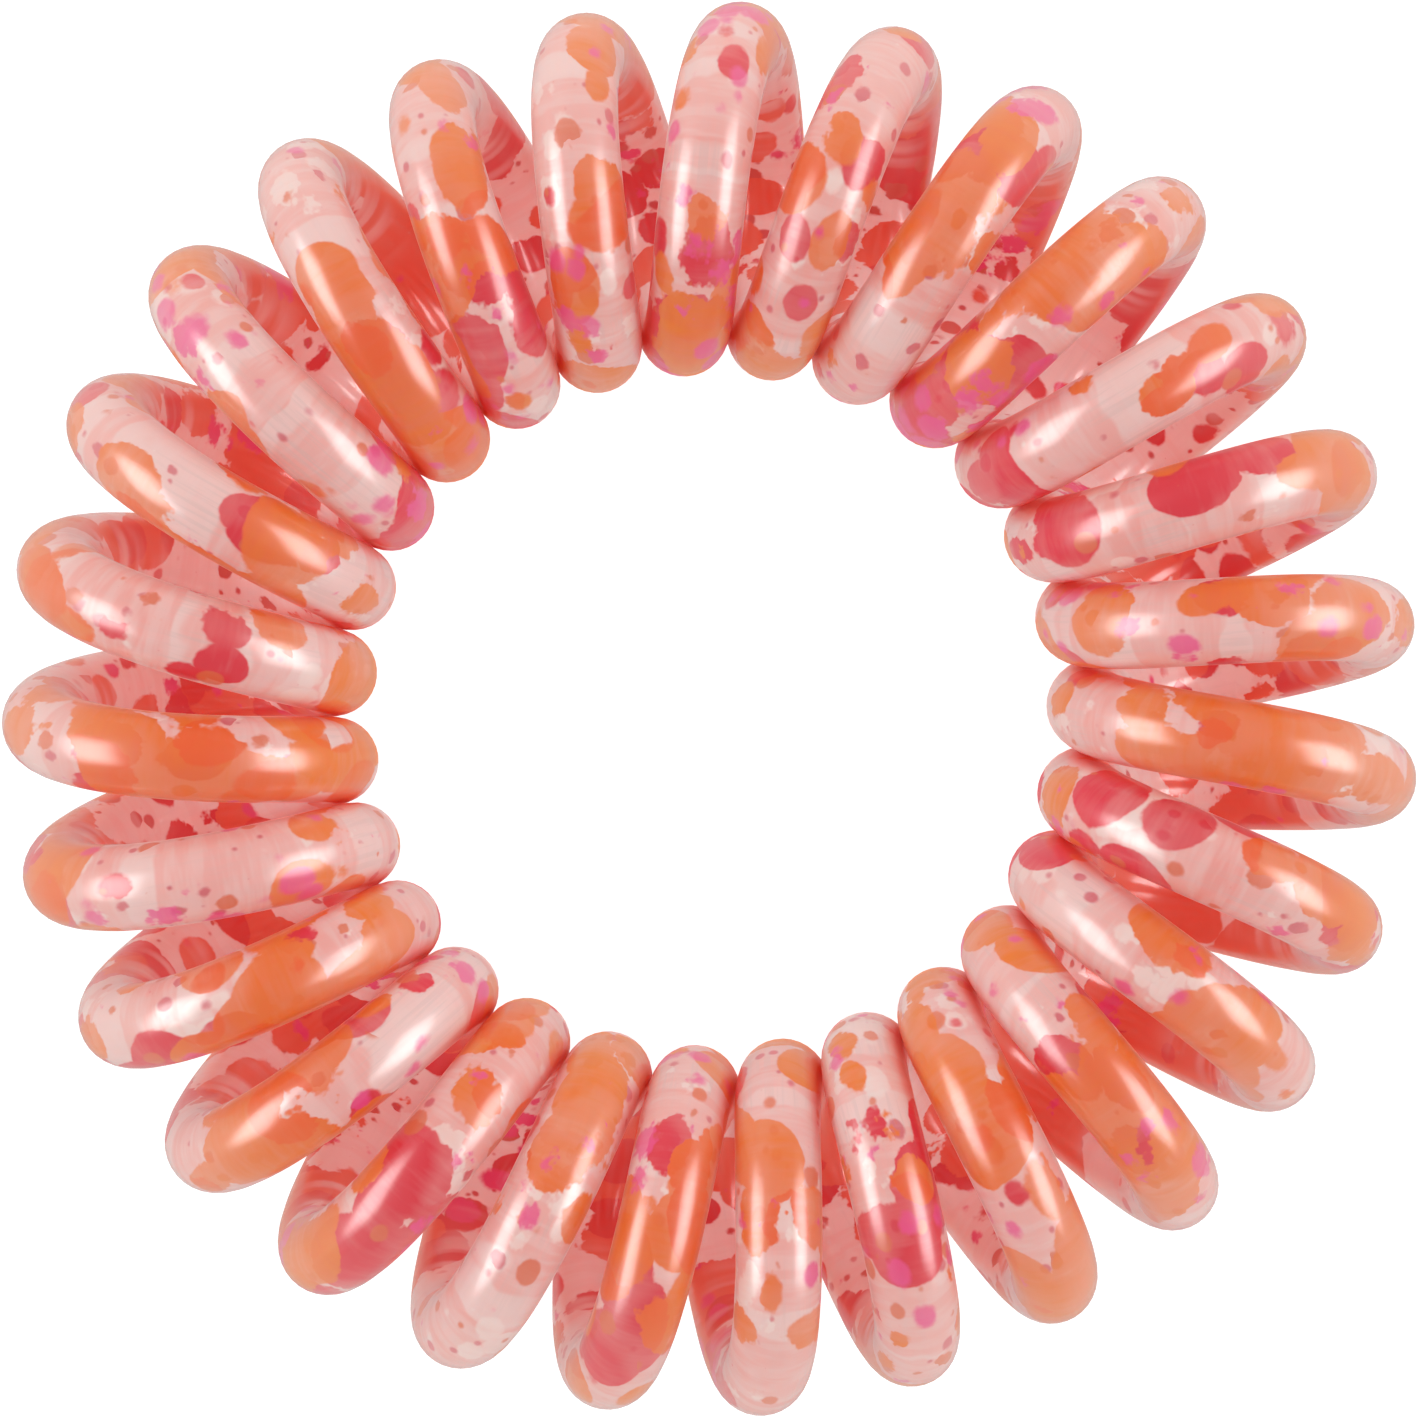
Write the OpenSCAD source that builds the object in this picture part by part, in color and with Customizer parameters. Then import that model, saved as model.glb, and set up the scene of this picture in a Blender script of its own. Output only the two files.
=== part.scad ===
// Spiral hair tie: one round elastic strand, wound as a left-handed coil whose ends meet,
// so that the coil closes into a ring. The ring lies flat and is centred on the Z axis,
// with the undersides of its loops at z = 0.

/* [Ring] */
// Outer diameter of the ring, across the outer bends of its loops
ring_outer_d = 38; // [34:0.5:46]
// Diameter of the free opening in the middle of the ring
opening_d = 18; // [15:0.5:20]
// Angle from +Y to the first outer bend, clockwise as seen from above
first_bend_angle = 2.6; // [0:0.1:13]

/* [Strand] */
// Diameter of the round strand
strand_d = 2.3; // [1.8:0.1:2.6]
// Least clearance between neighbouring turns, which crowd most at the opening
turn_gap = 0.04; // [0.02:0.01:0.5]

/* [Mesh] */
// Cross sections along each turn of the strand
sections_per_turn = 20; // [12:4:20]
// Sides of each cross section
section_sides = 10; // [8:1:10]

/* [Hidden] */
strand_color = [0.91, 0.47, 0.42];

// One loop of the coil is round: this is its outer diameter, and the height of the ring
loop_d = (ring_outer_d - opening_d) / 2;
// From the middle of a loop to the middle of its strand
loop_r = (loop_d - strand_d) / 2;
// From the ring's axis to the middle of the loops
ring_r = (ring_outer_d + opening_d) / 4;
// From the ring's axis to the middle of the strand, on the side of the opening
inner_r = ring_r - loop_r;
// The least distance between the middles of two neighbouring turns, square to the strand
least_pitch = strand_d + turn_gap;
// As many whole turns as fit round the opening at that distance. A turn there advances by
// 2 * PI * inner_r / turns, and leans by the angle whose tangent is inner_r / turns / loop_r.
turns = floor(inner_r * sqrt(pow(2 * PI / least_pitch, 2) - pow(1 / loop_r, 2)));

// At angle t the strand is at its outer bend for 0, on top for 90, at its inner bend for 180
// and underneath for 270. Meanwhile the loop moves round the ring by t / turns.
function ring_angle(t) = 90 - first_bend_angle + t / turns;

// Unit vector from the middle of the loop to the strand, square to the strand
function outwards(t) =
    let (a = ring_angle(t))
    [cos(t) * cos(a), cos(t) * sin(a), sin(t)];

// Middle of the strand
function strand_point(t) =
    let (a = ring_angle(t))
    [ring_r * cos(a), ring_r * sin(a), loop_r + strand_d / 2] + loop_r * outwards(t);

// Unit vector along the strand
function along(t) =
    let (
        a = ring_angle(t),
        advance = (ring_r + loop_r * cos(t)) / turns,
        v = loop_r * [-sin(t) * cos(a), -sin(t) * sin(a), cos(t)] + advance * [-sin(a), cos(a), 0]
    )
    v / norm(v);

// One cross section of the strand: a round outline square to it
function section(t) =
    let (u = outwards(t), w = cross(along(t), u))
    [
        for (k = [0 : section_sides - 1])
            let (s = 360 * k / section_sides)
            strand_point(t) + strand_d / 2 * (cos(s) * u + sin(s) * w)
    ];

// The strand is a closed sweep: its last cross section joins the first
module coil() {
    count = turns * sections_per_turn;
    points = [for (i = [0 : count - 1]) each section(360 * i / sections_per_turn)];
    faces = [
        for (i = [0 : count - 1], k = [0 : section_sides - 1])
            let (
                here = i * section_sides,
                next = (i + 1) % count * section_sides,
                k2 = (k + 1) % section_sides
            )
            each [
                [here + k, next + k, next + k2],
                [here + k, next + k2, here + k2]
            ]
    ];
    color(strand_color) polyhedron(points, faces, convexity = 10);
}

coil();
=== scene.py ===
# %% [markdown]
# A spiral hair tie
#
# The real thing is one round strand of soft, glossy plastic. It is wound like a telephone cord,
# and its ends are joined, so that the coil closes into a ring. This lesson builds that strand
# with Geometry Nodes. Then it paints it with a procedural pattern: milky pink plastic under
# splashes of orange, raspberry and magenta ink.
#
# Everything is in metres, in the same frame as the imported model, which is loaded first. That
# model is the reference for every size, and nothing is fitted by eye afterwards.

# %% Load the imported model
import math
from collections import namedtuple

import bpy
import numpy as np
from mathutils import Matrix, Vector


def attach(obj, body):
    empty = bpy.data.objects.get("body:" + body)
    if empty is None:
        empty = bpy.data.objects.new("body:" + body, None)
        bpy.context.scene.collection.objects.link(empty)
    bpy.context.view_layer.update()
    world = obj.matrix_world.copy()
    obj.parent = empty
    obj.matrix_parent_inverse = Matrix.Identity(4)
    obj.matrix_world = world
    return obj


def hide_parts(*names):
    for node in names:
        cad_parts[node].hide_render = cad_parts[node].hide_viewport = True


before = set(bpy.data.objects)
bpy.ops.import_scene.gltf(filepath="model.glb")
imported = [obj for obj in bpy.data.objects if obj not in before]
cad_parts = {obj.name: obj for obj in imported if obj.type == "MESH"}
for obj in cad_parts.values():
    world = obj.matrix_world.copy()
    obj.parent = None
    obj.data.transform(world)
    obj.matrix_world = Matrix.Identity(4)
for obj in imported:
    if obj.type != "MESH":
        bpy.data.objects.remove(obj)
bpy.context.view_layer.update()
print("packed nodes:", sorted(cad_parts))

# %% [markdown]
# Sizes
#
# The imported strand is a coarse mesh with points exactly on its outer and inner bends. So the
# ring's outer diameter, its opening, the number of turns and the place of the first outer bend
# can all be read from it. Only the strand's own thickness is written here.

# %% Read the ring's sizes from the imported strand
MM = 0.001
STRAND_D = 2.3 * MM

corners = np.array([v.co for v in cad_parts["coil"].data.vertices])
reach = np.hypot(corners[:, 0], corners[:, 1])
ring_outer_r = float(reach.max())
opening_r = float(reach.min())

strand_r = STRAND_D / 2
ring_r = (ring_outer_r + opening_r) / 2
loop_r = (ring_outer_r - opening_r) / 2 - strand_r
middle_z = loop_r + strand_r
print(f"ring {2 * ring_outer_r / MM:.2f} mm, opening {2 * opening_r / MM:.2f} mm")
print(f"loops {2 * middle_z / MM:.2f} mm high")

# %% Count the turns
SAME_REACH = 0.001 * MM
PLUS_Y_DEGREES = 90

outermost = corners[reach > ring_outer_r - SAME_REACH]
bend_angles = np.unique(np.degrees(np.arctan2(outermost[:, 1], outermost[:, 0])).round(2))
turns = len(bend_angles)
first_bend = math.radians(float(bend_angles[np.abs(bend_angles - PLUS_Y_DEGREES).argmin()]))
turn_length = math.hypot(math.tau * loop_r, math.tau * ring_r / turns)
strand_length = turns * turn_length
print(f"{turns} turns, strand {strand_length / MM:.0f} mm long")
print(f"first outer bend at {math.degrees(first_bend):.2f} degrees")

# %% [markdown]
# Helpers
#
# A node tree can be drawn by hand in the editor, but a script can be read, checked and run
# again. Written out in full, though, every node takes four or five lines. These helpers make
# one node each, so that a formula in nodes reads almost like a formula.


# %% Helpers for any node tree
def link(tree, value, socket):
    """Feeds a socket with another node's output, or sets it to a plain value."""
    if isinstance(value, bpy.types.NodeSocket):
        tree.links.new(value, socket)
    else:
        socket.default_value = value


def add_inputs(tree, inputs):
    """Gives a tree its named inputs, from (name, socket type, default) rows."""
    for name, kind, default in inputs:
        socket = tree.interface.new_socket(name, in_out="INPUT", socket_type="NodeSocket" + kind)
        if default is not None:
            socket.default_value = default
    return tree.nodes.new("NodeGroupInput").outputs


def math_node(tree, operation, first, second=None, third=None, clamp=False):
    node = tree.nodes.new("ShaderNodeMath")
    node.operation = operation
    node.use_clamp = clamp
    for socket, value in zip(node.inputs, (first, second, third)):
        if value is not None:
            link(tree, value, socket)
    return node.outputs[0]


print("helpers for trees, links and arithmetic are ready")


# %% Helpers for vectors
def vector_node(tree, operation, first, second=None, scale=None):
    node = tree.nodes.new("ShaderNodeVectorMath")
    node.operation = operation
    link(tree, first, node.inputs[0])
    if second is not None:
        link(tree, second, node.inputs[1])
    if scale is not None:
        link(tree, scale, node.inputs["Scale"])
    return node.outputs["Vector"]


def combine(tree, x, y, z):
    node = tree.nodes.new("ShaderNodeCombineXYZ")
    for socket, value in zip(node.inputs, (x, y, z)):
        link(tree, value, socket)
    return node.outputs[0]


def separate(tree, vector):
    node = tree.nodes.new("ShaderNodeSeparateXYZ")
    link(tree, vector, node.inputs[0])
    return node.outputs


def turned(tree, vector, axis, angle):
    """The vector turned about one of the main axes."""
    node = tree.nodes.new("ShaderNodeVectorRotate")
    node.rotation_type = axis + "_AXIS"
    link(tree, vector, node.inputs["Vector"])
    link(tree, angle, node.inputs["Angle"])
    return node.outputs[0]


print("helpers for vectors are ready")

# %% [markdown]
# The strand
#
# A coil can be made with a curve and a bevel, with a Screw modifier or by bending a straight
# spring. All three leave a seam where the ring closes, or let the section twist. Here a flat
# grid is rolled up instead: one side of the grid runs along the strand and the other runs
# round it. Four turns of a vector do the winding, as a hand would:
#
# 1. a point starts on the strand's own circle, which is tipped by the lead angle
# 2. it moves out by the loop's radius and turns round the loop
# 3. it moves out by the ring's radius and turns round the ring
#
# The same grid gives the strand its UV maps for free. The first says how far a point is along
# the strand and round it, and the pattern uses it. It is one long thin strip, which would waste
# a baked picture, so the second cuts the strip into its turns and stacks them in columns.

# %% The two UV maps
STRAND_MAP = "Strand"
BAKE_MAP = "OFBake"
STRIP_COLUMNS = 3
STRIP_GAP = 0.04


def keep_map(tree, mesh, name, place):
    """Stores a UV map on the corners of the mesh."""
    store = tree.nodes.new("GeometryNodeStoreNamedAttribute")
    store.data_type = "FLOAT2"
    store.domain = "CORNER"
    link(tree, mesh, store.inputs["Geometry"])
    link(tree, name, store.inputs["Name"])
    link(tree, place, store.inputs["Value"])
    return store.outputs[0]


def in_cell(tree, share, cell, cells, gap):
    """A share of one cell's width as a share of the whole row's, with a gap round each cell."""
    inset = math_node(tree, "MULTIPLY_ADD", share, 1 - gap, gap / 2)
    return math_node(tree, "DIVIDE", math_node(tree, "ADD", inset, cell), cells)


def bake_place(tree, x, y, turns):
    """The map for baking: one strip for each turn, in columns, with gaps between them."""
    along = math_node(tree, "MULTIPLY", x, turns)
    whole = tree.nodes.new("GeometryNodeFieldOnDomain")
    whole.domain = "FACE"
    link(tree, along, whole.inputs[0])
    turn = math_node(tree, "FLOOR", whole.outputs[0])
    column = math_node(tree, "MODULO", turn, STRIP_COLUMNS)
    row = math_node(tree, "FLOOR", math_node(tree, "DIVIDE", turn, STRIP_COLUMNS))
    rows = math_node(tree, "CEIL", math_node(tree, "DIVIDE", turns, STRIP_COLUMNS))
    share = math_node(tree, "SUBTRACT", along, turn)
    across = in_cell(tree, share, column, STRIP_COLUMNS, STRIP_GAP / STRIP_COLUMNS)
    return combine(tree, across, in_cell(tree, y, row, rows, STRIP_GAP), 0.0)


print(f"map {STRAND_MAP} is for the pattern, map {BAKE_MAP} for baking in {STRIP_COLUMNS} columns")


# %% Where the winding takes a point of the grid
def wound_point(tree, given, x, y):
    round_ring = math_node(tree, "MULTIPLY", x, math.tau)
    round_loop = math_node(tree, "MULTIPLY", round_ring, given["Turns"])
    round_strand = math_node(tree, "MULTIPLY", y, math.tau)

    # The lead angle says how steeply the strand advances along the coil at this place.
    swing = math_node(tree, "MULTIPLY", math_node(tree, "COSINE", round_loop), given["Loop Radius"])
    advance = math_node(tree, "ADD", given["Ring Radius"], swing)
    rise = math_node(tree, "MULTIPLY", given["Turns"], given["Loop Radius"])
    lead = math_node(tree, "ARCTAN2", advance, rise)

    point = turned(tree, combine(tree, given["Strand Radius"], 0.0, 0.0), "Z", round_strand)
    point = turned(tree, point, "X", math_node(tree, "MULTIPLY", lead, -1.0))
    point = vector_node(tree, "ADD", point, combine(tree, given["Loop Radius"], 0.0, 0.0))
    point = turned(tree, point, "Y", math_node(tree, "MULTIPLY", round_loop, -1.0))
    point = vector_node(tree, "ADD", point, combine(tree, given["Ring Radius"], 0.0, 0.0))
    point = turned(tree, point, "Z", math_node(tree, "ADD", round_ring, given["First Bend"]))
    height = math_node(tree, "ADD", given["Loop Radius"], given["Strand Radius"])
    return vector_node(tree, "ADD", point, combine(tree, 0.0, 0.0, height))


print("the winding is a formula of 4 turns of a vector")

# %% The Geometry Nodes tree
MERGE_WITHIN = 0.0001 * MM
GRID_MIDDLE = (0.5, 0.5, 0.0)


def mesh_step(tree, kind, mesh, **inputs):
    """One more node in the chain that the mesh runs through."""
    node = tree.nodes.new(kind)
    link(tree, mesh, node.inputs[0])
    for name, value in inputs.items():
        link(tree, value, node.inputs[name])
    return node.outputs[0]


def winding_tree():
    tree = bpy.data.node_groups.new("Wound strand", "GeometryNodeTree")
    given = add_inputs(
        tree,
        [
            ("Ring Radius", "Float", 0.014),
            ("Loop Radius", "Float", 0.004),
            ("Strand Radius", "Float", 0.001),
            ("Turns", "Int", 20),
            ("First Bend", "Float", 0.0),
            ("Sections per Turn", "Int", 100),
            ("Section Sides", "Int", 32),
            ("Material", "Material", None),
        ],
    )
    tree.interface.new_socket("Geometry", in_out="OUTPUT", socket_type="NodeSocketGeometry")

    grid = tree.nodes.new("GeometryNodeMeshGrid")
    sections = math_node(tree, "MULTIPLY", given["Turns"], given["Sections per Turn"])
    link(tree, 1.0, grid.inputs["Size X"])
    link(tree, 1.0, grid.inputs["Size Y"])
    link(tree, math_node(tree, "ADD", sections, 1), grid.inputs["Vertices X"])
    link(tree, math_node(tree, "ADD", given["Section Sides"], 1), grid.inputs["Vertices Y"])

    # The grid lies round the origin, so half its size is added to run from 0 to 1.
    place = tree.nodes.new("GeometryNodeInputPosition").outputs[0]
    x, y, _ = separate(tree, vector_node(tree, "ADD", place, GRID_MIDDLE))
    mesh = keep_map(tree, grid.outputs["Mesh"], STRAND_MAP, combine(tree, x, y, 0.0))
    mesh = keep_map(tree, mesh, BAKE_MAP, bake_place(tree, x, y, given["Turns"]))

    # Rolled up, the grid's faces look inwards, and its edges meet but aren't joined yet.
    mesh = mesh_step(tree, "GeometryNodeSetPosition", mesh, Position=wound_point(tree, given, x, y))
    mesh = mesh_step(tree, "GeometryNodeFlipFaces", mesh)
    mesh = mesh_step(tree, "GeometryNodeMergeByDistance", mesh, Distance=MERGE_WITHIN)
    mesh = mesh_step(tree, "GeometryNodeSetShadeSmooth", mesh)
    mesh = mesh_step(tree, "GeometryNodeRealizeInstances", mesh)
    mesh = mesh_step(tree, "GeometryNodeSetMaterial", mesh, Material=given["Material"])
    link(tree, mesh, tree.nodes.new("NodeGroupOutput").inputs[0])
    return tree


WINDING = winding_tree()
print(f"{WINDING.name}: {len(WINDING.nodes)} nodes")

# %% [markdown]
# The plastic
#
# The plastic is milky pink and lets some light through. The ink lies on it in splashes that
# overlap, and it went on while the strand was still straight: on the outside of a bend the
# pattern is pulled long, and on the inside it is squeezed.
#
# A pattern in Object coordinates would cut through the strand like the grain of a log, and a
# flat UV pattern would show a seam. Both faults vanish if the strand is pictured as it was
# before it was wound, as one big plain hoop. The group below turns the UV map into a place on
# that hoop, in millimetres. Every texture is then an ordinary 3D texture on the hoop.


# %% Helpers for shader groups
def new_group(name, inputs, outputs):
    """An empty shader group: its tree, what it is given and the sockets that it feeds."""
    tree = bpy.data.node_groups.new(name, "ShaderNodeTree")
    given = add_inputs(tree, inputs)
    for label, kind in outputs:
        tree.interface.new_socket(label, in_out="OUTPUT", socket_type="NodeSocket" + kind)
    return tree, given, tree.nodes.new("NodeGroupOutput").inputs


def group_node(tree, group, **values):
    """Places a group and feeds its inputs: lobe_size=2 sets the input named Lobe Size."""
    node = tree.nodes.new("ShaderNodeGroup")
    node.node_tree = group
    for name, value in values.items():
        link(tree, value, node.inputs[name.replace("_", " ").title()])
    return node.outputs


print("helpers for shader groups are ready")


# %% How far away the next loop is
def gap_between_loops(tree, given, outwards, round_strand):
    """The loops spread like a fan: close at the inner bends and wide apart at the outer ones."""
    from_axis = math_node(tree, "MULTIPLY_ADD", outwards, given["Loop Radius"], given["Ring Radius"])
    turn_angle = math_node(tree, "DIVIDE", math.tau, given["Turns"])
    facing = math_node(tree, "ABSOLUTE", math_node(tree, "SINE", round_strand))
    thickness = math_node(tree, "MULTIPLY", given["Strand Radius"], 2.0)
    apart = math_node(tree, "MULTIPLY", from_axis, turn_angle)
    return math_node(tree, "SUBTRACT", apart, math_node(tree, "MULTIPLY", thickness, facing))


inner_gap = math.tau / turns * (ring_r - loop_r) - STRAND_D
outer_gap = math.tau / turns * (ring_r + loop_r) - STRAND_D
print(f"gaps from {inner_gap / MM:.2f} mm at the inner bends to {outer_gap / MM:.2f} mm at the outer ones")

# %% A shader group: place on the unwound strand
THINNED = 0.15
SHRUNK = 0.05


def unwound_group():
    tree, given, out = new_group(
        "Unwound strand",
        [
            ("Hoop Radius", "Float", 100.0),
            ("Ring Radius", "Float", 14.0),
            ("Loop Radius", "Float", 4.0),
            ("Strand Radius", "Float", 1.0),
            ("Turns", "Float", 20.0),
        ],
        [
            ("Place", "Vector"),
            ("Core", "Vector"),
            ("Across", "Vector"),
            ("Along", "Vector"),
            ("Tunnel Side", "Float"),
            ("Outer Side", "Float"),
            ("Gap", "Float"),
        ],
    )
    uv = tree.nodes.new("ShaderNodeUVMap")
    uv.uv_map = STRAND_MAP
    u, v, _ = separate(tree, uv.outputs[0])
    round_hoop = math_node(tree, "MULTIPLY", u, math.tau)
    round_strand = math_node(tree, "MULTIPLY", v, math.tau)
    section = turned(tree, combine(tree, given["Strand Radius"], 0.0, 0.0), "Y", round_strand)

    def on_hoop(radius, start):
        centre = combine(tree, radius, 0.0, 0.0)
        return turned(tree, vector_node(tree, "ADD", centre, start), "Z", round_hoop)

    link(tree, on_hoop(given["Hoop Radius"], section), out["Place"])
    link(tree, on_hoop(given["Hoop Radius"], (0.0, 0.0, 0.0)), out["Core"])
    # A thinner strand turns a round spot into a line across it, and a smaller hoop turns it
    # into a streak along it.
    thin = vector_node(tree, "SCALE", section, scale=THINNED)
    link(tree, on_hoop(given["Hoop Radius"], thin), out["Across"])
    small = math_node(tree, "MULTIPLY", given["Hoop Radius"], SHRUNK)
    link(tree, on_hoop(small, section), out["Along"])

    # Both sides run from 0 to 1: towards the tunnel inside the coil, and out from the opening.
    away = math_node(tree, "COSINE", round_strand)
    link(tree, math_node(tree, "MULTIPLY_ADD", away, -0.5, 0.5), out["Tunnel Side"])
    outwards = math_node(tree, "COSINE", math_node(tree, "MULTIPLY", round_hoop, given["Turns"]))
    link(tree, math_node(tree, "MULTIPLY_ADD", outwards, 0.5, 0.5), out["Outer Side"])
    link(tree, gap_between_loops(tree, given, outwards, round_strand), out["Gap"])
    return tree


UNWOUND = unwound_group()
print(f"{UNWOUND.name}: {len(UNWOUND.nodes)} nodes")

# %% Helpers for textures and colours
NOISE_MIDDLE = 0.5


def noise_node(tree, vector, scale, detail=2.0, roughness=0.5, output="Fac"):
    """Soft noise that swings round 0.5. On the hoop its scale counts features in a millimetre."""
    node = tree.nodes.new("ShaderNodeTexNoise")
    link(tree, vector, node.inputs["Vector"])
    link(tree, scale, node.inputs["Scale"])
    node.inputs["Detail"].default_value = detail
    node.inputs["Roughness"].default_value = roughness
    return node.outputs[output]


def voronoi_node(tree, vector):
    """Random points, one in each unit of space: how far the nearest is, and its colour."""
    node = tree.nodes.new("ShaderNodeTexVoronoi")
    link(tree, vector, node.inputs["Vector"])
    link(tree, 1.0, node.inputs["Scale"])
    return node.outputs


def ramp(tree, value, start, end):
    """0 at start, 1 at end, a soft step in between, and flat beyond both."""
    node = tree.nodes.new("ShaderNodeMapRange")
    node.interpolation_type = "SMOOTHSTEP"
    link(tree, value, node.inputs["Value"])
    link(tree, start, node.inputs["From Min"])
    link(tree, end, node.inputs["From Max"])
    return node.outputs["Result"]


def mix_colour(tree, factor, first, second):
    node = tree.nodes.new("ShaderNodeMix")
    node.data_type = "RGBA"
    link(tree, factor, node.inputs["Factor"])
    link(tree, first, node.inputs[6])
    link(tree, second, node.inputs[7])
    return node.outputs[2]


def srgb(red, green, blue):
    """A colour given as 0 to 255 on screen, in the linear values that Blender works in."""
    # These are the numbers of the usual screen curve, which is a straight line near black.
    def linear(c):
        c = c / 255
        return c / 12.92 if c <= 0.04045 else ((c + 0.055) / 1.055) ** 2.4

    return (linear(red), linear(green), linear(blue), 1.0)


print("middle grey on screen is", [round(c, 3) for c in srgb(128, 128, 128)[:3]], "in linear light")

# %% [markdown]
# Patches and drops
#
# The ink lies in two forms: large ragged patches with smooth lobes between torn stretches, and
# small round drops. They could be painted by hand, but then the strand would need a picture.
# Plain noise has no round lobes, so both forms start from Voronoi cells: each is a ball round a
# random point. In the patches the balls are as large as their cells and run together, and in
# the drops each stays alone. Both masks go from 0 to 1 over a soft edge, given in millimetres.


# %% What patches and drops share
def own_places(tree, given):
    """The ink's own place in the pattern, which its seed moves: as it is, and shaken."""
    seed = combine(tree, given["Seed"], given["Seed"], given["Seed"])
    still = vector_node(tree, "ADD", given["Place"], seed)
    shake = vector_node(tree, "SCALE", given["Shake"], scale=given["Ragged"])
    return still, vector_node(tree, "ADD", still, shake)


def inked(tree, radius, distance, edge):
    """1 inside the radius and 0 outside, with a soft edge between."""
    inside = math_node(tree, "SUBTRACT", radius, distance)
    return ramp(tree, inside, math_node(tree, "MULTIPLY", edge, -1.0), edge)


print("both kinds of ink start from a shaken place and end in a soft edge")


# %% A shader group: ragged patches of ink
def patches_group():
    tree, given, out = new_group(
        "Ink patches",
        [
            ("Place", "Vector", None),
            ("Shake", "Vector", None),
            ("Lobe Size", "Float", 2.0),
            ("Period", "Float", 6.0),
            ("Cover", "Float", 0.4),
            ("Spread", "Float", 2.0),
            ("Ragged", "Float", 0.3),
            ("Edge", "Float", 0.045),
            ("Seed", "Float", 0.0),
        ],
        [("Mask", "Float")],
    )
    still, shaken = own_places(tree, given)
    lobe = math_node(tree, "DIVIDE", 1.0, given["Lobe Size"])
    distance = voronoi_node(tree, vector_node(tree, "SCALE", shaken, scale=lobe))["Distance"]

    # Slow noise makes the balls large in one stretch, where they run together into a patch,
    # and small or none in the next.
    slow = noise_node(tree, still, math_node(tree, "DIVIDE", 1.0, given["Period"]), detail=1.0)
    swell = math_node(tree, "SUBTRACT", slow, NOISE_MIDDLE)
    radius = math_node(tree, "MULTIPLY_ADD", swell, given["Spread"], given["Cover"])
    edge = math_node(tree, "MULTIPLY", given["Edge"], lobe)
    link(tree, inked(tree, radius, distance, edge), out["Mask"])
    return tree


PATCHES = patches_group()
print(f"{PATCHES.name}: {len(PATCHES.nodes)} nodes")

# %% A shader group: round drops of ink
SMALLEST_DROP = 0.25
SIZE_POWER = 3.0  # most drops are small


def drops_group():
    tree, given, out = new_group(
        "Ink drops",
        [
            ("Place", "Vector", None),
            ("Shake", "Vector", None),
            ("Cell Size", "Float", 1.2),
            ("Largest", "Float", 0.4),
            ("Share", "Float", 0.5),
            ("Ragged", "Float", 0.1),
            ("Edge", "Float", 0.045),
            ("Seed", "Float", 0.0),
        ],
        [("Mask", "Float")],
    )
    _, shaken = own_places(tree, given)
    cell = math_node(tree, "DIVIDE", 1.0, given["Cell Size"])
    spots = voronoi_node(tree, vector_node(tree, "SCALE", shaken, scale=cell))

    # Each cell's random colour says whether it has a drop, and how large the drop is.
    chance, size, _ = separate(tree, spots["Color"])
    there = math_node(tree, "LESS_THAN", chance, given["Share"])
    size = math_node(tree, "POWER", size, SIZE_POWER)
    size = math_node(tree, "MULTIPLY_ADD", size, 1 - SMALLEST_DROP, SMALLEST_DROP)
    radius = math_node(tree, "MULTIPLY", math_node(tree, "MULTIPLY", size, given["Largest"]), there)
    edge = math_node(tree, "MULTIPLY", given["Edge"], cell)
    link(tree, inked(tree, radius, spots["Distance"], edge), out["Mask"])
    return tree


DROPS = drops_group()
print(f"{DROPS.name}: {len(DROPS.nodes)} nodes")

# %% [markdown]
# The milky plastic
#
# Under the ink the plastic isn't even. Paler and rosier bands lie straight across the strand,
# fine fibres cross it, and faint lines run along it, as if it had been drawn through a die. One
# noise for all of that would look like clouds. So each has its own noise, read at the place
# that gives it its direction: the core line for bands, and the thinned or shrunk hoop for lines.

# %% How the milky plastic varies
# A scale counts features in a millimetre. A step is where noise turns into a mask: 0 at its
# first value and 1 at its second.
WIDE_BAND_SCALE = 0.33
NARROW_BAND_SCALE = 0.8
MOTTLE_SCALE = 0.9
FIBRE_SCALE = 3.2
LINE_SCALE = 6.5

ROSY_STEP = (0.58, 0.60)
ROSY_MOTTLE = 0.1
ROSY_STRENGTH = 0.55
PALE_STEP = (0.64, 0.68)
PALE_MOTTLE = 0.25
PALE_STRENGTH = 0.8
FIBRE_STEP = (0.40, 0.64)
LINE_STEP = (0.47, 0.62)
CLEAR_STEP = (0.42, 0.58)
FAINTEST_LINES = 0.10
CLEAREST_LINES = 0.36
print(f"bands of about {1 / WIDE_BAND_SCALE:.1f} and {1 / NARROW_BAND_SCALE:.1f} mm")

# %% A shader group: the milky plastic itself
ELSEWHERE = (40.0, 70.0, 10.0)


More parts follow.
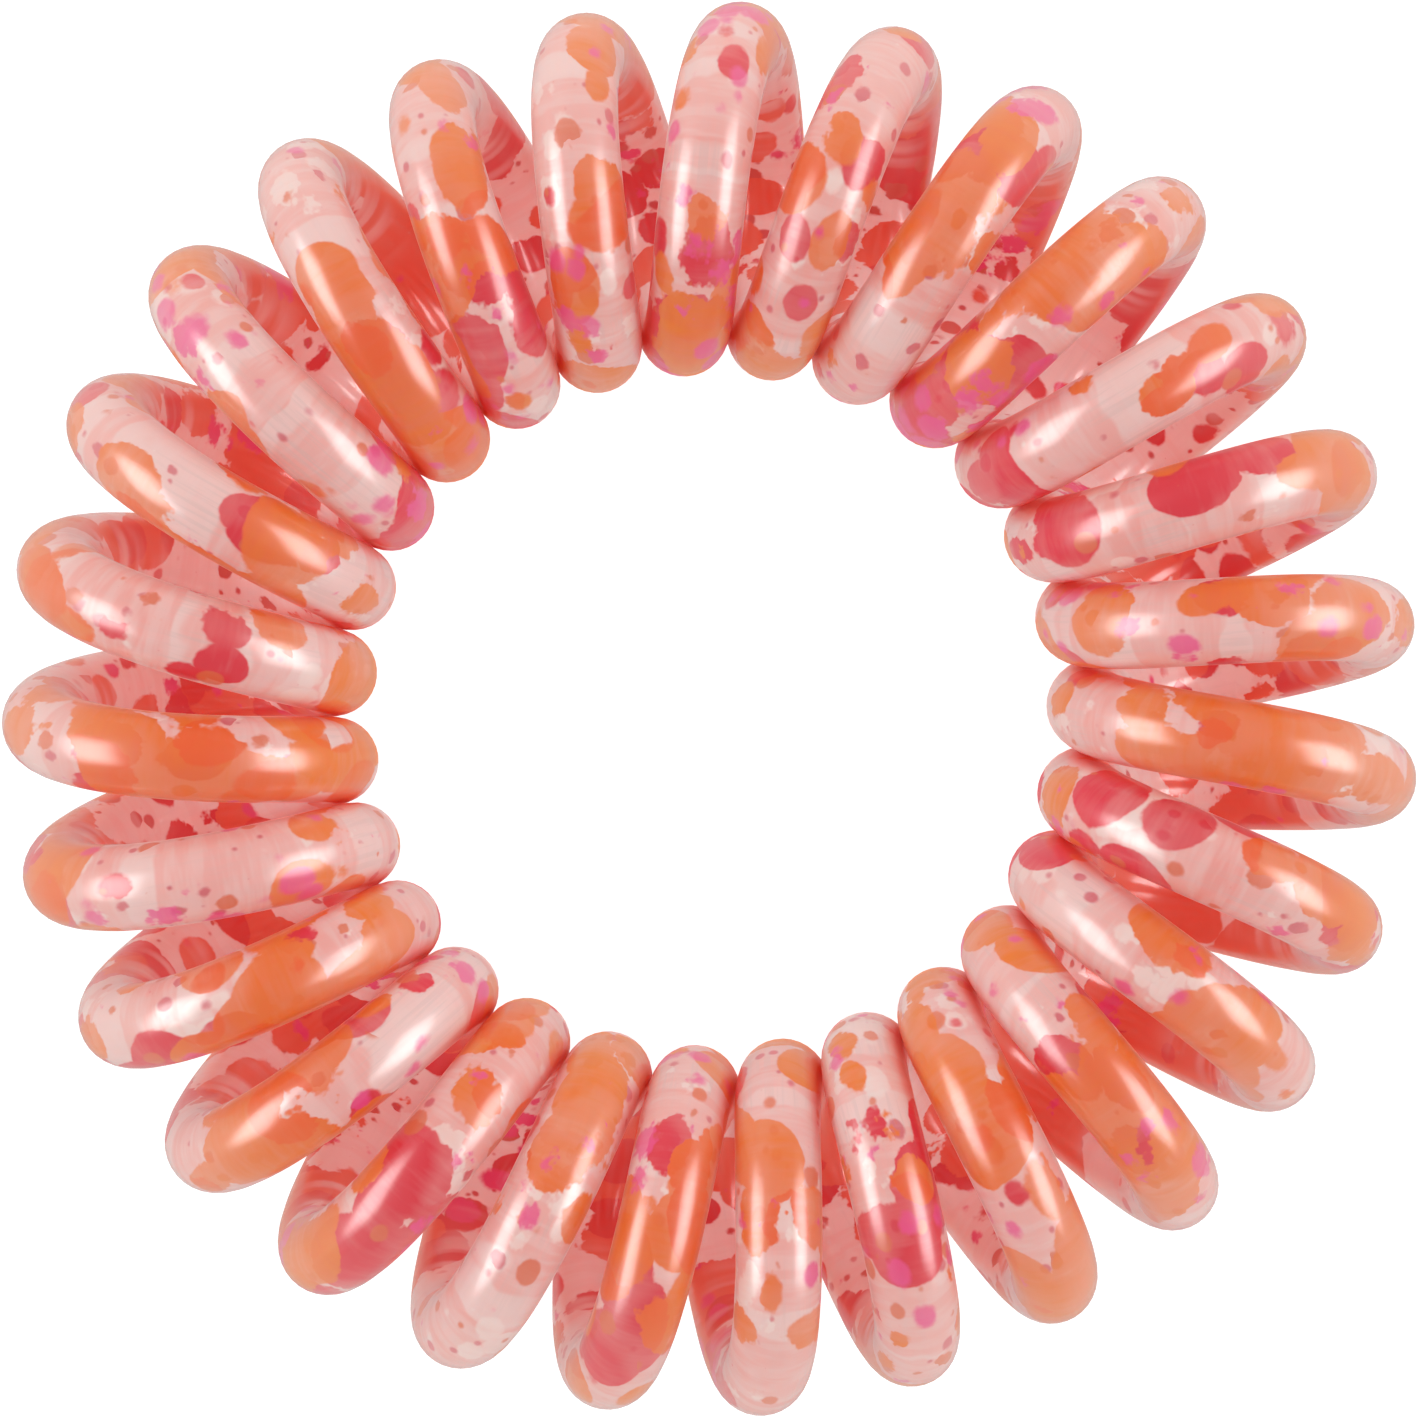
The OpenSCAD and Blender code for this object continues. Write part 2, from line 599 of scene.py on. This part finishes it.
def milky_group():
    tree, given, out = new_group(
        "Milky plastic",
        [
            ("Place", "Vector", None),
            ("Core", "Vector", None),
            ("Across", "Vector", None),
            ("Along", "Vector", None),
            ("Pink", "Color", srgb(237, 174, 167)),
            ("Pale", "Color", srgb(238, 204, 199)),
            ("Rosy", "Color", srgb(235, 155, 146)),
            ("Ashen", "Color", srgb(214, 184, 180)),
            ("Fibre Strength", "Float", 0.4),
            ("Line Strength", "Float", 1.0),
        ],
        [("Color", "Color"), ("Fibres", "Float")],
    )
    wide = noise_node(tree, given["Core"], WIDE_BAND_SCALE, detail=1.0)
    other_core = vector_node(tree, "ADD", given["Core"], ELSEWHERE)
    narrow = noise_node(tree, other_core, NARROW_BAND_SCALE, detail=0.0)
    mottle = noise_node(tree, given["Place"], MOTTLE_SCALE, detail=1.0)
    fibres = noise_node(tree, given["Across"], FIBRE_SCALE, detail=2.0, roughness=0.65)
    lines = noise_node(tree, given["Along"], LINE_SCALE, detail=2.0, roughness=0.6)

    pale = math_node(tree, "MULTIPLY_ADD", mottle, PALE_MOTTLE, narrow)
    pale = math_node(tree, "MULTIPLY", ramp(tree, pale, *PALE_STEP), PALE_STRENGTH)
    colour = mix_colour(tree, pale, given["Pink"], given["Pale"])
    rosy = math_node(tree, "MULTIPLY_ADD", mottle, ROSY_MOTTLE, wide)
    rosy = math_node(tree, "MULTIPLY", ramp(tree, rosy, *ROSY_STEP), ROSY_STRENGTH)
    colour = mix_colour(tree, rosy, colour, given["Rosy"])

    crossing = math_node(tree, "MULTIPLY", ramp(tree, fibres, *FIBRE_STEP), given["Fibre Strength"])
    colour = mix_colour(tree, crossing, colour, given["Pale"])
    # The lines along the strand are clearest where the plastic is pale.
    clear = ramp(tree, narrow, *CLEAR_STEP)
    clear = math_node(tree, "MULTIPLY_ADD", clear, CLEAREST_LINES - FAINTEST_LINES, FAINTEST_LINES)
    clear = math_node(tree, "MULTIPLY", clear, given["Line Strength"])
    drawn = math_node(tree, "MULTIPLY", ramp(tree, lines, *LINE_STEP), clear)
    colour = mix_colour(tree, drawn, colour, given["Ashen"])

    link(tree, colour, out["Color"])
    link(tree, fibres, out["Fibres"])
    return tree


MILKY = milky_group()
print(f"{MILKY.name}: {len(MILKY.nodes)} nodes")


# %% A shader group: how deep the colour looks
def depth_group():
    """Twice the path through coloured plastic squares what it lets through, so a colour
    is deepened by a power."""
    tree, given, out = new_group(
        "Colour depth",
        [("Color", "Color", None), ("Depth", "Float", 1.0)],
        [("Color", "Color")],
    )
    parts = [math_node(tree, "POWER", c, given["Depth"]) for c in separate(tree, given["Color"])]
    link(tree, combine(tree, *parts), out["Color"])
    return tree


DEPTH = depth_group()
print(f"{DEPTH.name}: {len(DEPTH.nodes)} nodes")

# %% [markdown]
# The inks
#
# Seven inks lie over each other. Each is a row of the table below: its colour on the open side
# of the strand, its redder colour on the side that faces the tunnel inside the coil, which is
# painted red light (light reaches the eye there only after it has gone through more plastic),
# how opaque it is at its thinnest and at its densest, and the settings of its pattern group, in
# millimetres. The deep orange lies only on the ink of the row before it, where the orange pooled.

# %% The inks, in the order in which they went on
Ink = namedtuple("Ink", "group colour tunnel_colour thinnest densest settings on_last", defaults=[False])

ORANGE = srgb(234, 116, 42)
DEEP_ORANGE = srgb(236, 92, 28)
RASPBERRY = srgb(220, 46, 64)
MAGENTA = srgb(234, 76, 142)
BROWN_ORANGE = srgb(220, 108, 70)
DARK_RASPBERRY = srgb(206, 70, 90)
MILK = srgb(243, 218, 211)
# Painted light: the tunnel side's paler plastic and redder inks, as the light that has gone through more
# plastic shows them.
TUNNEL_PINK = srgb(238, 202, 197)
TUNNEL_ORANGE = srgb(226, 84, 70)
TUNNEL_RED = srgb(215, 56, 60)
TUNNEL_BROWN = srgb(208, 76, 72)
TUNNEL_MAGENTA = srgb(224, 58, 100)

INKS = [
    Ink(PATCHES, MILK, TUNNEL_PINK, 0.70, 0.70,
        dict(lobe_size=1.0, period=3.5, cover=0.10, spread=2.0, ragged=0.90, edge=0.06, seed=97.0)),
    Ink(DROPS, DARK_RASPBERRY, TUNNEL_BROWN, 0.75, 0.75,
        dict(cell_size=0.60, largest=0.44, share=0.42, ragged=0.25, seed=61.0)),
    Ink(PATCHES, RASPBERRY, TUNNEL_RED, 0.82, 1.00,
        dict(lobe_size=1.9, period=5.2, cover=0.295, spread=2.2, ragged=0.55, seed=41.0)),
    Ink(DROPS, BROWN_ORANGE, TUNNEL_BROWN, 0.85, 0.85,
        dict(cell_size=0.80, largest=0.46, share=0.42, ragged=0.35, seed=47.0)),
    Ink(PATCHES, ORANGE, TUNNEL_ORANGE, 0.80, 0.95,
        dict(lobe_size=1.8, period=5.0, cover=0.48, spread=2.4, ragged=0.62, seed=3.0)),
    Ink(PATCHES, DEEP_ORANGE, TUNNEL_RED, 0.70, 0.70,
        dict(lobe_size=2.1, period=4.5, cover=0.22, spread=2.0, ragged=0.50, seed=29.0), on_last=True),
    Ink(PATCHES, MAGENTA, TUNNEL_MAGENTA, 0.80, 0.80,
        dict(lobe_size=1.1, period=4.5, cover=0.07, spread=2.0, ragged=0.90, edge=0.08, seed=83.0)),
]
print(len(INKS), "inks:", ", ".join(ink.group.name for ink in INKS))

# %% How ragged the edges of the ink are
TORN_SCALE = 0.4
TORN_STEP = (0.40, 0.62)
SHAKE_SCALE = 2.4
LEAST_SHAKE = 0.25


def shaking(tree, place):
    """One shaking for all the inks: torn stretches of edge lie beside smooth ones."""
    torn = ramp(tree, noise_node(tree, place, TORN_SCALE, detail=0.0), *TORN_STEP)
    shake = noise_node(tree, place, SHAKE_SCALE, detail=2.0, roughness=0.62, output="Color")
    shake = vector_node(tree, "SUBTRACT", shake, (NOISE_MIDDLE, NOISE_MIDDLE, NOISE_MIDDLE))
    strength = math_node(tree, "MULTIPLY_ADD", torn, 1 - LEAST_SHAKE, LEAST_SHAKE)
    return vector_node(tree, "SCALE", shake, scale=strength)


print(f"smooth edges are shaken {LEAST_SHAKE} times as much as torn ones")

# %% Lay the inks over the plastic
TONE_SCALE = 0.55
TONE_STEP = (0.4, 0.6)
BRUSH = 0.4
REDDER = 0.85


def lay_inks(tree, colour, place, fibres, in_tunnel):
    shake = shaking(tree, place)
    # Slow noise thins each ink here and there, and the plastic's fine fibres run through it.
    tone = ramp(tree, noise_node(tree, place, TONE_SCALE, detail=0.0), *TONE_STEP)
    brushed = math_node(tree, "SUBTRACT", fibres, NOISE_MIDDLE)
    brushed = math_node(tree, "MULTIPLY", brushed, BRUSH)
    # Painted red light: inside the coil every ink turns towards its tunnel colour and lies at full
    # strength.
    redder = math_node(tree, "MULTIPLY", in_tunnel, REDDER)
    last = None
    for ink in INKS:
        mask = group_node(tree, ink.group, place=place, shake=shake, **ink.settings)["Mask"]
        if ink.on_last:
            mask = math_node(tree, "MULTIPLY", mask, last)
        last = mask
        opacity = math_node(tree, "MULTIPLY_ADD", tone, ink.densest - ink.thinnest, ink.thinnest)
        opacity = math_node(tree, "ADD", opacity, brushed, clamp=True)
        opacity = math_node(tree, "MAXIMUM", opacity, in_tunnel)
        ink_colour = mix_colour(tree, redder, ink.colour, ink.tunnel_colour)
        colour = mix_colour(tree, math_node(tree, "MULTIPLY", mask, opacity), colour, ink_colour)
    return colour


print("ink is", REDDER, "of the way to its tunnel colour inside the coil")

# %% [markdown]
# Light and shade painted by the winding
#
# A wound strand doesn't look the same all round, and most of that is light and shade, painted here
# into the colour. On the side that faces the tunnel the colours are painted stronger and redder,
# and the plastic there paler, for the light that reaches it through more plastic and between the
# loops. At the outer bends that side is squeezed into lines, which are the pattern's own. The
# inner and outer bends are painted paler, for light that shines through the plastic there, and
# the outer ones a little hazy with a painted grey shade. Where two loops all but touch, a painted
# red glow stands for light that passes from one loop into the next. The camera must not decide
# any of this, or it would slide over the strand in another view. So each effect follows a place
# on the strand, which the first group knows: how far round towards the tunnel, how far out, and
# how near the next loop.

# %% The plastic with its inks, all round the strand
USUAL_FIBRES = 0.42
SQUEEZING_ADDS = 0.35
STRAIGHT_STEP = (0.90, 0.50)
TUNNEL_PAINTED_LIGHT = 0.6


def plastic_with_inks(tree, unwound, in_tunnel, squeezed):
    """Fibres are strongest where they are squeezed, and lines stop at the outer bends."""
    milky = group_node(
        tree,
        MILKY,
        place=unwound["Place"],
        core=unwound["Core"],
        across=unwound["Across"],
        along=unwound["Along"],
        fibre_strength=math_node(tree, "MULTIPLY_ADD", squeezed, SQUEEZING_ADDS, USUAL_FIBRES),
        line_strength=ramp(tree, unwound["Outer Side"], *STRAIGHT_STEP),
    )
    # Painted light: inside the coil the plastic is painted paler, towards the tunnel pink.
    tunnel_painted_light = math_node(tree, "MULTIPLY", in_tunnel, TUNNEL_PAINTED_LIGHT)
    colour = mix_colour(tree, tunnel_painted_light, milky["Color"], TUNNEL_PINK)
    return lay_inks(tree, colour, unwound["Place"], milky["Fibres"], in_tunnel)


print("the lines fade out between", STRAIGHT_STEP[1], "and", STRAIGHT_STEP[0], "of the way out")

# %% Squeezed lines, and painted light and shade at the bends
SQUEEZED_SCALE = 1.6
SQUEEZED_STEP = (0.42, 0.66)
SQUEEZE_STEP = (0.6, 0.95)
SQUEEZE_STRENGTH = 0.7
HALF_WAY_OUT = 0.45
# Painted light at both bends, and painted shade at the outer ones.
PAINTED_LIGHT_OUTSIDE = 0.21
PAINTED_LIGHT_INSIDE = 0.24
PAINTED_SHADE = srgb(218, 170, 158)
PAINTED_SHADE_STRENGTH = 0.22


def squeezed_lines(tree, unwound, squeezed, colour):
    """On the tunnel side of an outer bend everything is squeezed into lines across."""
    lines = ramp(tree, noise_node(tree, unwound["Across"], SQUEEZED_SCALE, detail=1.0), *SQUEEZED_STEP)
    lines = math_node(tree, "MULTIPLY", lines, ramp(tree, squeezed, *SQUEEZE_STEP))
    return mix_colour(tree, math_node(tree, "MULTIPLY", lines, SQUEEZE_STRENGTH), colour, TUNNEL_PINK)


def painted_light_at_bends(tree, outer_side, colour):
    """Painted light: colour paler at the inner and outer bends. Painted shade: grey haze at the outer ones.
    """
    inmost = ramp(tree, outer_side, HALF_WAY_OUT, 0.0)
    outmost = ramp(tree, outer_side, HALF_WAY_OUT, 1.0)
    # Painted light: a depth under 1 makes the colour paler at both bends.
    depth = math_node(tree, "MULTIPLY_ADD", outmost, -PAINTED_LIGHT_OUTSIDE, 1.0)
    depth = math_node(tree, "MULTIPLY_ADD", inmost, -PAINTED_LIGHT_INSIDE, depth)
    colour = group_node(tree, DEPTH, color=colour, depth=depth)["Color"]
    # Painted shade: the outer bends are mixed towards a greyer colour.
    return mix_colour(tree, math_node(tree, "MULTIPLY", outmost, PAINTED_SHADE_STRENGTH), colour, PAINTED_SHADE)


print(f"colour is {1 - PAINTED_LIGHT_OUTSIDE:.2f} deep at outer bends, {1 - PAINTED_LIGHT_INSIDE:.2f} at inner ones")

# %% The colour of the strand
TUNNEL_STEP = (0.35, 0.8)
PAINTED_GLOW = srgb(252, 98, 72)
PAINTED_GLOW_STRENGTH = 0.7
GLOW_REACH_MM = 0.9


def strand_colour(tree, unwound):
    """The plastic with its inks, its squeezed lines, and the light and shade painted on it where it is
    wound.
    """
    in_tunnel = ramp(tree, unwound["Tunnel Side"], *TUNNEL_STEP)
    squeezed = math_node(tree, "MULTIPLY", unwound["Tunnel Side"], unwound["Outer Side"])
    colour = plastic_with_inks(tree, unwound, in_tunnel, squeezed)
    colour = squeezed_lines(tree, unwound, squeezed, colour)
    colour = painted_light_at_bends(tree, unwound["Outer Side"], colour)
    # Painted light: a red glow where the next loop is near, for light that passes from loop to loop.
    touching = ramp(tree, unwound["Gap"], GLOW_REACH_MM, 0.0)
    return mix_colour(tree, math_node(tree, "MULTIPLY", touching, PAINTED_GLOW_STRENGTH), colour, PAINTED_GLOW)


print(f"the red glow starts where the next loop is {GLOW_REACH_MM} mm away")

# %% [markdown]
# The surface
#
# Two layers give the gloss. A clear skin, the coat, has the sharp highlight, and the milky
# plastic under it is rougher and a little wavy along the strand, which gives a soft haze round
# that highlight. Subsurface scattering lets light wander inside the plastic, so the shaded
# flanks glow. A hard lacquer would mirror most where it is seen edge on. Between the loops the
# soft strand shows its own colour there, so the coat fades, and only the outer bends, which
# face the open studio, keep their rim.

# %% Where the clear skin shines
EDGE_ON_STEP = (0.97, 0.70)
OPEN_RIM_STEP = (0.60, 0.95)


def coat_weight(tree, outer_side):
    edge = tree.nodes.new("ShaderNodeLayerWeight")
    between_loops = ramp(tree, edge.outputs["Facing"], *EDGE_ON_STEP)
    outer_bends = ramp(tree, outer_side, *OPEN_RIM_STEP)
    return math_node(tree, "MAXIMUM", between_loops, outer_bends)


print("the rim is there from", OPEN_RIM_STEP[0], "of the way out, and whole from", OPEN_RIM_STEP[1])

# %% The strand's material
HOOP_R_MM = strand_length / math.tau / MM
WAVE_SCALE = 3.5
WAVE_HEIGHT = 0.002 * MM
LEAST_ROUGHNESS = 0.25
ROUGHNESS_SWING = 0.3
PLASTIC_IOR = 1.5
PLASTIC_SHINE = 0.3
COAT_IOR = 1.45
COAT_ROUGHNESS = 0.145
SCATTER_DEPTH = 2.0 * MM
SCATTER_SHARES = (1.0, 0.7, 0.6)


def strand_material():
    material = bpy.data.materials.new("Splashed milky plastic")
    material.use_nodes = True
    tree = material.node_tree
    sockets = tree.nodes["Principled BSDF"].inputs
    unwound = group_node(
        tree,
        UNWOUND,
        hoop_radius=HOOP_R_MM,
        ring_radius=ring_r / MM,
        loop_radius=loop_r / MM,
        strand_radius=strand_r / MM,
        turns=float(turns),
    )
    link(tree, strand_colour(tree, unwound), sockets["Base Color"])
    link(tree, coat_weight(tree, unwound["Outer Side"]), sockets["Coat Weight"])

    waves = noise_node(tree, unwound["Along"], WAVE_SCALE, detail=1.0)
    bump = tree.nodes.new("ShaderNodeBump")
    link(tree, WAVE_HEIGHT, bump.inputs["Distance"])
    link(tree, waves, bump.inputs["Height"])
    link(tree, bump.outputs[0], sockets["Normal"])
    roughness = math_node(tree, "MULTIPLY_ADD", waves, ROUGHNESS_SWING, LEAST_ROUGHNESS)
    link(tree, roughness, sockets["Roughness"])

    sockets["IOR"].default_value = PLASTIC_IOR
    sockets["Specular IOR Level"].default_value = PLASTIC_SHINE
    sockets["Coat IOR"].default_value = COAT_IOR
    sockets["Coat Roughness"].default_value = COAT_ROUGHNESS
    sockets["Subsurface Weight"].default_value = 1.0
    sockets["Subsurface Radius"].default_value = SCATTER_SHARES
    sockets["Subsurface Scale"].default_value = SCATTER_DEPTH
    return material


PLASTIC = strand_material()
print(f"{PLASTIC.name}: {len(PLASTIC.node_tree.nodes)} nodes, on a hoop {2 * HOOP_R_MM:.0f} mm wide")

# %% [markdown]
# Winding the strand
#
# The tree is put on an empty object as a modifier, with the sizes read above. The export needs
# a plain mesh, so the result is copied out of the evaluated object, and the modifier goes. 100
# sections in a turn and 32 sides in a section keep the outline round at the size of the final
# picture, and the strand under 200,000 triangles.

# %% Wind the strand and make it a plain mesh
SECTIONS_PER_TURN = 100
SECTION_SIDES = 32


def set_inputs(modifier, values):
    """Sets a modifier's inputs, which go by each socket's identifier and not by its name."""
    for item in modifier.node_group.interface.items_tree:
        if item.in_out == "INPUT":
            modifier[item.identifier] = values[item.name]


def wound_strand():
    holder = bpy.data.objects.new("winding", bpy.data.meshes.new("winding"))
    bpy.context.scene.collection.objects.link(holder)
    winding = holder.modifiers.new("winding", "NODES")
    winding.node_group = WINDING
    set_inputs(
        winding,
        {
            "Ring Radius": ring_r,
            "Loop Radius": loop_r,
            "Strand Radius": strand_r,
            "Turns": turns,
            "First Bend": first_bend,
            "Sections per Turn": SECTIONS_PER_TURN,
            "Section Sides": SECTION_SIDES,
            "Material": PLASTIC,
        },
    )
    depsgraph = bpy.context.evaluated_depsgraph_get()
    mesh = bpy.data.meshes.new_from_object(holder.evaluated_get(depsgraph), depsgraph=depsgraph)
    bpy.data.objects.remove(holder)
    mesh.materials.pop(index=0)  # the empty slot that every new mesh starts with
    mesh.name = "coil_strand"
    strand = bpy.data.objects.new("coil_strand", mesh)
    bpy.context.scene.collection.objects.link(strand)
    return strand


coil_strand = wound_strand()
triangles = sum(len(p.vertices) - 2 for p in coil_strand.data.polygons)
print(f"coil_strand: {len(coil_strand.data.vertices)} points, {triangles} triangles")
print("materials:", coil_strand.data.materials.keys(), "maps:", coil_strand.data.uv_layers.keys())


# %% Check that the faces look outwards
def enclosed_volume(mesh):
    """Positive where the faces look outwards."""
    mesh.calc_loop_triangles()
    points = np.array([v.co for v in mesh.vertices])
    a, b, c = (points[[t.vertices[k] for t in mesh.loop_triangles]] for k in range(3))
    return float(np.einsum("ij,ij->i", a, np.cross(b, c)).sum() / 6)


print(f"volume {enclosed_volume(coil_strand.data) / MM ** 3:.0f} mm3")

# %% Say what the strand is to the frame
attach(coil_strand, "root")
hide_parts("coil")
print("coil_strand rides on root and replaces coil")

# %% [markdown]
# The studio floor
#
# The hair tie lies on a pale floor. A white floor that only reflects would turn grey or show a
# shadow, so this one gives off most of its light itself. It is left out of the gloss, where it
# would put a hard white band under every loop.

# %% Floor
FLOOR_HALF_SIDE = 2.0
FLOOR_GREY = (0.3, 0.3, 0.3, 1.0)
FLOOR_GLOW = 0.95
FLOOR_ROUGHNESS = 0.9


def floor_material():
    material = bpy.data.materials.new("Pale floor")
    material.use_nodes = True
    sockets = material.node_tree.nodes["Principled BSDF"].inputs
    sockets["Base Color"].default_value = FLOOR_GREY
    sockets["Roughness"].default_value = FLOOR_ROUGHNESS
    sockets["Specular IOR Level"].default_value = 0.0
    sockets["Emission Color"].default_value = (1.0, 1.0, 1.0, 1.0)
    sockets["Emission Strength"].default_value = FLOOR_GLOW
    return material


def make_floor(half_side):
    mesh = bpy.data.meshes.new("floor")
    s = half_side
    mesh.from_pydata([(-s, -s, 0), (s, -s, 0), (s, s, 0), (-s, s, 0)], [], [(0, 1, 2, 3)])
    mesh.materials.append(floor_material())
    sheet = bpy.data.objects.new("floor", mesh)
    sheet.visible_glossy = False
    bpy.context.scene.collection.objects.link(sheet)
    return sheet


floor = make_floor(FLOOR_HALF_SIDE)
print(f"{floor.name}: {floor.dimensions.x:.0f} m wide")

# %% [markdown]
# The lights
#
# Every loop in the photo has a pair of long soft highlights. Two tall soft boxes give them,
# left and right of the ring, low enough that each strand mirrors both. A plain area light would
# have hard edges in the gloss, so these fade towards their edges. They light only the gloss:
# the even light on the plastic comes from the world. The real plastic also passes light on into
# the tunnel, which subsurface scattering does too weakly here. Faint point lights along the
# tunnel's middle, hidden from the camera and the gloss, make up for it.

# %% Light that fades towards the edges
BOX_RADIANCE = 9.5
BOX_SOFTNESS = 0.35


def fading_emission(light, radiance, softness):
    """Full strength in the middle, and less over this share of the width at each edge."""
    light.use_nodes = True
    tree = light.node_tree
    across, along, _ = separate(tree, tree.nodes.new("ShaderNodeNewGeometry").outputs["Parametric"])
    fade = 1.0
    for place in (across, along):
        from_edge = math_node(tree, "PINGPONG", place, 0.5)
        fade = math_node(tree, "MULTIPLY", fade, ramp(tree, from_edge, 0.0, softness))
    strength = math_node(tree, "MULTIPLY", fade, radiance)
    link(tree, strength, tree.nodes["Emission"].inputs["Strength"])


print(f"radiance {BOX_RADIANCE} in the middle of a soft box, and 0 at its edges")

# %% Soft boxes left and right of the ring
BOX_AZIMUTHS = {"box_right": 0, "box_left": 180}
BOX_FROM_AXIS = 61
BOX_DISTANCE = 0.6
BOX_WIDTH = 0.52
BOX_HEIGHT = 0.80


def facing_the_ring(azimuth, from_axis, distance):
    """The place and turn of a light that looks at the ring from this direction."""
    a, e = math.radians(azimuth), math.radians(from_axis)
    away = Vector((math.sin(e) * math.cos(a), math.sin(e) * math.sin(a), math.cos(e)))
    side = Vector((-math.sin(a), math.cos(a), 0))
    turn = Matrix((-away.cross(side), side, away)).transposed().to_4x4()
    return Matrix.Translation(away * distance) @ turn


def soft_box(name, azimuth, from_axis):
    """An area light that only the gloss sees."""
    light = bpy.data.lights.new(name, "AREA")
    light.shape = "RECTANGLE"
    light.size = BOX_WIDTH
    light.size_y = BOX_HEIGHT
    light.energy = BOX_WIDTH * BOX_HEIGHT * math.pi  # so that its nodes give plain radiance
    fading_emission(light, BOX_RADIANCE, BOX_SOFTNESS)
    box = bpy.data.objects.new(name, light)
    box.matrix_world = facing_the_ring(azimuth, from_axis, BOX_DISTANCE)
    box.visible_camera = False
    box.visible_diffuse = False
    bpy.context.scene.collection.objects.link(box)
    return box


for name, azimuth in BOX_AZIMUTHS.items():
    box = soft_box(name, azimuth, BOX_FROM_AXIS)
    print(f"{box.name}: {box.location.x / MM:.0f} mm along X, {box.location.z / MM:.0f} mm up")

# %% Lamps in the tunnel
LAMP_POWER = 3.6e-5
LAMP_COLOUR = (0.85, 1.0, 1.03)
LAMP_R = 0.8 * MM


def tunnel_lamp(name, angle):
    light = bpy.data.lights.new(name, "POINT")
    light.energy = LAMP_POWER
    light.color = LAMP_COLOUR
    light.shadow_soft_size = LAMP_R
    lamp = bpy.data.objects.new(name, light)
    lamp.location = (ring_r * math.cos(angle), ring_r * math.sin(angle), middle_z)
    lamp.visible_camera = False
    lamp.visible_glossy = False
    bpy.context.scene.collection.objects.link(lamp)


for k in range(turns):
    tunnel_lamp(f"tunnel_{k:02d}", first_bend + math.tau * (k + 0.5) / turns)
print(turns, "lamps, one for each turn")

# %% [markdown]
# The world
#
# The world stands for the studio's ceiling and walls. The plastic gets its even light from
# them: more from the side walls and from the back wall, at +Y, and less from the front. A
# picture of a studio could do that too, but a few nodes are easier to tune. The gloss sees a
# calm warm grey instead, a little redder below, so that only the soft boxes stand out in it.

# %% World
FROM_CEILING = 0.71
FROM_WALLS = 0.24
FROM_BACK_WALL = 0.32
FROM_SIDE_WALLS = 0.36
STUDIO_TINT = (0.98, 1.0, 1.0, 1.0)
GLOSS_ABOVE = (0.56, 0.493, 0.482, 1.0)
GLOSS_BELOW = (0.60, 0.46, 0.44, 1.0)
HORIZON_STEP = (0.1, -0.3)


def studio_light(tree, x, y, z):
    """How strong the light is from each direction, for rays that aren't glossy."""
    low = math_node(tree, "SUBTRACT", 1.0, z, clamp=True)
    walls = math_node(tree, "MULTIPLY_ADD", y, FROM_BACK_WALL, FROM_WALLS)
    light = math_node(tree, "MULTIPLY", low, walls)
    light = math_node(tree, "ADD", light, FROM_CEILING)
    return math_node(tree, "MULTIPLY_ADD", math_node(tree, "MULTIPLY", x, x), FROM_SIDE_WALLS, light)


def studio_world():
    world = bpy.data.worlds.new("studio")
    world.use_nodes = True
    tree = world.node_tree
    x, y, z = separate(tree, tree.nodes.new("ShaderNodeTexCoord").outputs["Generated"])
    light = studio_light(tree, x, y, z)
    mirrored = mix_colour(tree, ramp(tree, z, *HORIZON_STEP), GLOSS_ABOVE, GLOSS_BELOW)
    glossy = tree.nodes.new("ShaderNodeLightPath").outputs["Is Glossy Ray"]
    rest = math_node(tree, "MULTIPLY", glossy, math_node(tree, "SUBTRACT", 1.0, light))
    background = tree.nodes["Background"]
    link(tree, math_node(tree, "ADD", light, rest), background.inputs["Strength"])
    link(tree, mix_colour(tree, glossy, STUDIO_TINT, mirrored), background.inputs["Color"])
    return world


bpy.context.scene.world = studio_world()
print(f"world: {FROM_CEILING} from above, {FROM_CEILING + FROM_WALLS + FROM_SIDE_WALLS:.2f} from each side")

# %% [markdown]
# The camera
#
# The reference view is almost straight down, from 3 degrees towards +Y, through a long lens.
# The camera could be placed by trial, but the ring gives it exactly: its known radius and the
# radius in the picture say how large a pixel is in the ring's plane, and everything else, given
# in pixels, follows from that. The camera's aim takes up the small offset, so its shift stays 0.

# %% Camera
FRAME_W = 1418
FRAME_H = 1417
RING_R_PX = 708.6
RING_CENTRE_PX = (710.8, 711.6)
CAMERA_DISTANCE_PX = 8300
TILT = math.radians(3.0)
SENSOR_MM = 36

px = ring_outer_r / RING_R_PX
camera_data = bpy.data.cameras.new("camera")
camera_data.sensor_width = SENSOR_MM
camera_data.lens = SENSOR_MM * CAMERA_DISTANCE_PX / FRAME_W
camera_data.clip_start = 0.01
camera_data.clip_end = 20
camera = bpy.data.objects.new("camera", camera_data)

back = Vector((0, math.sin(TILT), math.cos(TILT)))
right = Vector((1, 0, 0))
up = back.cross(right)
off_right = (RING_CENTRE_PX[0] - FRAME_W / 2) * px
off_down = (RING_CENTRE_PX[1] - FRAME_H / 2) * px
aim = Vector((0, 0, middle_z)) - right * off_right + up * off_down
axes = Matrix((right, up, back)).transposed().to_4x4()
camera.matrix_world = Matrix.Translation(aim + back * CAMERA_DISTANCE_PX * px) @ axes
bpy.context.scene.collection.objects.link(camera)
bpy.context.scene.camera = camera
bpy.context.scene.view_settings.view_transform = "Standard"
print(f"camera {CAMERA_DISTANCE_PX * px / MM:.0f} mm away, lens {camera_data.lens:.0f} mm")
